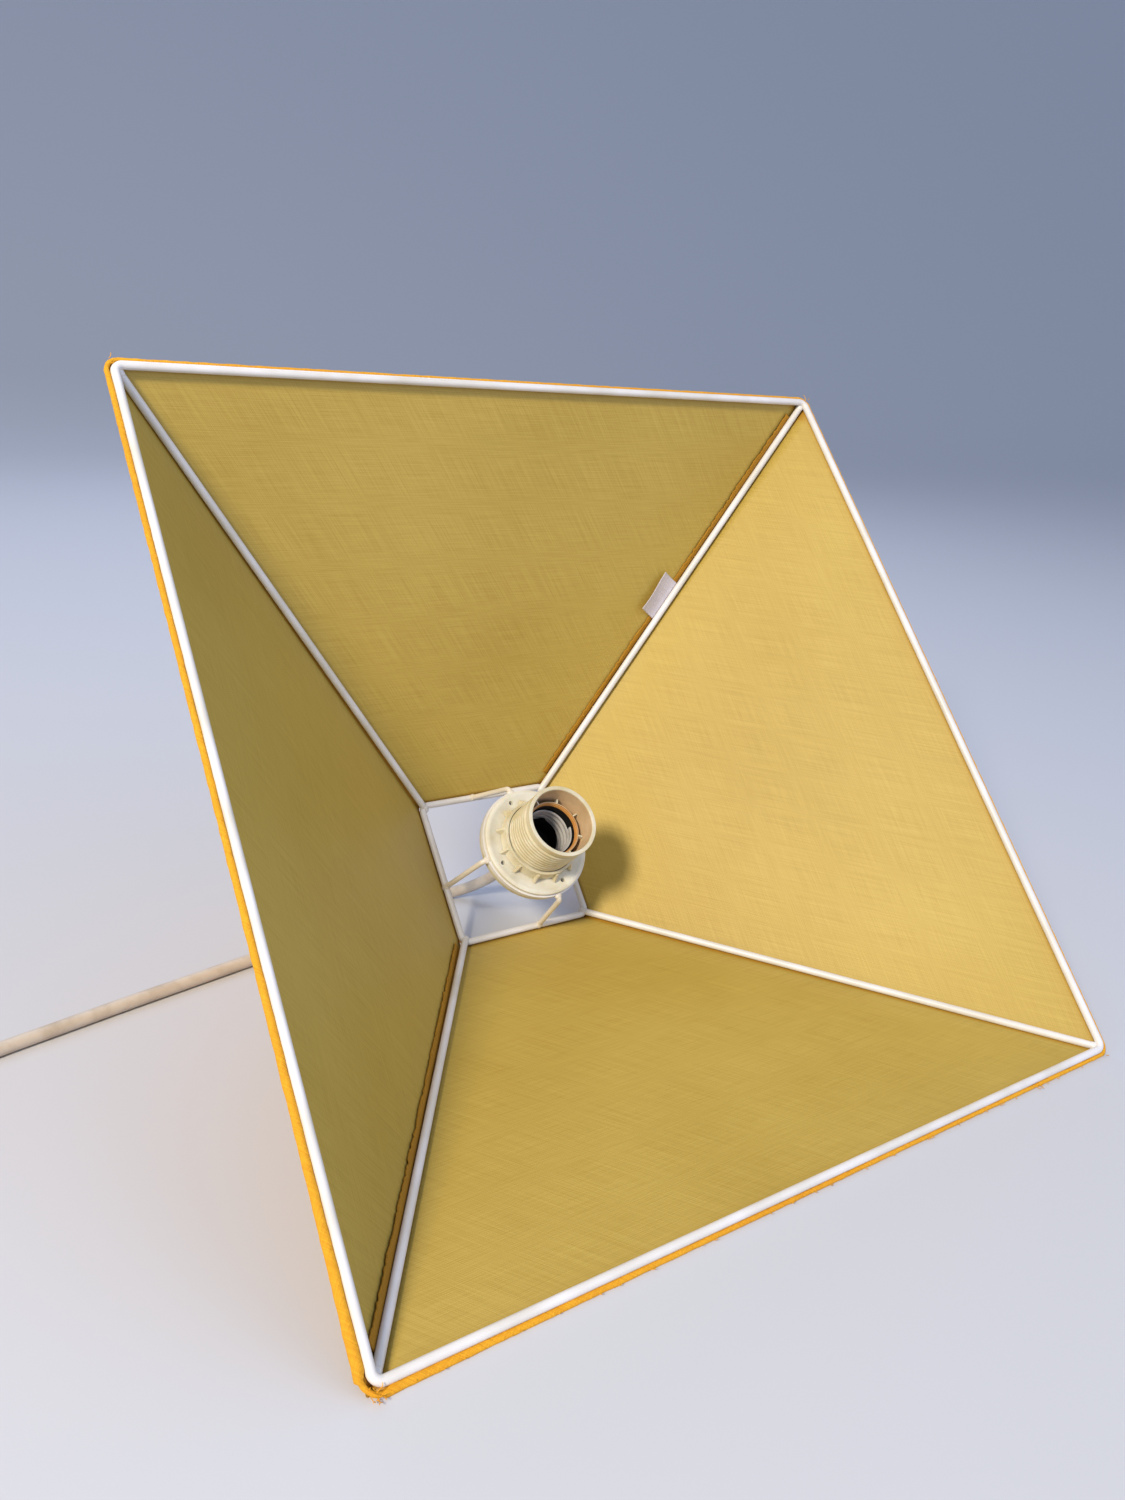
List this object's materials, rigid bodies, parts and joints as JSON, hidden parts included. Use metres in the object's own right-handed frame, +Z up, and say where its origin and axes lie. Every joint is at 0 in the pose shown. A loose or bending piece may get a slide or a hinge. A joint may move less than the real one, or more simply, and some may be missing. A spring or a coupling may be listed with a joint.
{
  "type": "pendant lampshade",
  "caption": "Square tapered pendant lampshade in yellow fabric on a white wire frame, with a threaded lampholder, shade ring and flex, lying on one side.",
  "frame": {"origin": "on the floor, at the middle of the box of the shade without its flex", "axes": "+X to the right as seen from the open mouth, +Y away from the mouth, +Z up"},
  "size_m": [0.5895, 0.2948, 0.2981],
  "materials": {
    "white_powder_coat": "semi-gloss powder coat",
    "yellow_laminate": "satin woven face on a stiff laminate",
    "golden_cloth": "woven cotton, raw and rolled edges",
    "cream_plastic": "moulded, slightly yellowed",
    "pale_plastic": "moulded, satin",
    "tan_plastic": "moulded, browned by heat",
    "dark_resin": "pressed resin",
    "nickel_steel": "dull nickel plate",
    "brass": "stamped, unpolished",
    "white_satin": "satin ribbon",
    "flex_vinyl": "soft vinyl sheath",
    "brown_vinyl": "vinyl insulation",
    "blue_vinyl": "vinyl insulation"
  },
  "bodies": {
    "lampshade": {"rim_wire": "white_powder_coat", "neck_wire": "white_powder_coat", "strut_bottom_right": "white_powder_coat", "strut_top_right": "white_powder_coat", "strut_top_left": "white_powder_coat", "strut_bottom_left": "white_powder_coat", "spider_arm_bottom": "white_powder_coat", "spider_arm_right": "white_powder_coat", "spider_arm_top": "white_powder_coat", "spider_arm_left": "white_powder_coat", "fitter_ring": "white_powder_coat", "panel_bottom": "yellow_laminate", "rim_hem_bottom": "golden_cloth", "neck_binding_bottom": "golden_cloth", "panel_right": "yellow_laminate", "rim_hem_right": "golden_cloth", "neck_binding_right": "golden_cloth", "panel_top": "yellow_laminate", "rim_hem_top": "golden_cloth", "neck_binding_top": "golden_cloth", "panel_left": "yellow_laminate", "rim_hem_left": "golden_cloth", "neck_binding_left": "golden_cloth", "seam_top_right": "golden_cloth", "seam_bottom_left": "golden_cloth", "fabric_label": "white_satin", "holder_skirt": "cream_plastic", "rear_flange": "cream_plastic", "socket_insert": "tan_plastic", "screw_shell": "nickel_steel", "contact_base": "dark_resin", "terminal_live": "brass", "terminal_screw_live": "nickel_steel", "inner_wire_live": "brown_vinyl", "terminal_neutral": "brass", "terminal_screw_neutral": "nickel_steel", "inner_wire_neutral": "blue_vinyl", "inner_sheath_end": "flex_vinyl", "holder_cap": "cream_plastic", "grip_screw": "pale_plastic", "strain_relief": "flex_vinyl", "cord_tube": "flex_vinyl", "cord_coil": "flex_vinyl", "coil_tie": "white_satin", "cord_tail": "flex_vinyl", "supply_connector": "pale_plastic", "core_brown": "brown_vinyl", "core_blue": "blue_vinyl"},
    "shade_ring": {"shade_ring": "pale_plastic"},
    "ring_nut": {"ring_nut": "cream_plastic"},
    "centre_contact": {"centre_contact": "brass"}
  },
  "joints": [
    {"name": "ring_travel", "type": "slide", "parent": "lampshade", "child": "shade_ring", "axis": [0, -0.7303, 0.6831], "range_m": [0, 0.02]},
    {"name": "ring_turn", "type": "hinge", "parent": "shade_ring", "child": "ring_nut", "pos_m": [0, 0.08585, 0.05725], "axis": [0, -0.7303, 0.6831], "range_deg": [0, 2880]},
    {"name": "contact_press", "type": "slide", "parent": "lampshade", "child": "centre_contact", "axis": [0, 0.7303, -0.6831], "range_m": [0, 0.0015], "stiffness_N_per_m": 1500}
  ],
  "couplings": [
    {"joint": "ring_travel", "follows": "ring_turn", "m_per_rad": 0.00039788}
  ]
}
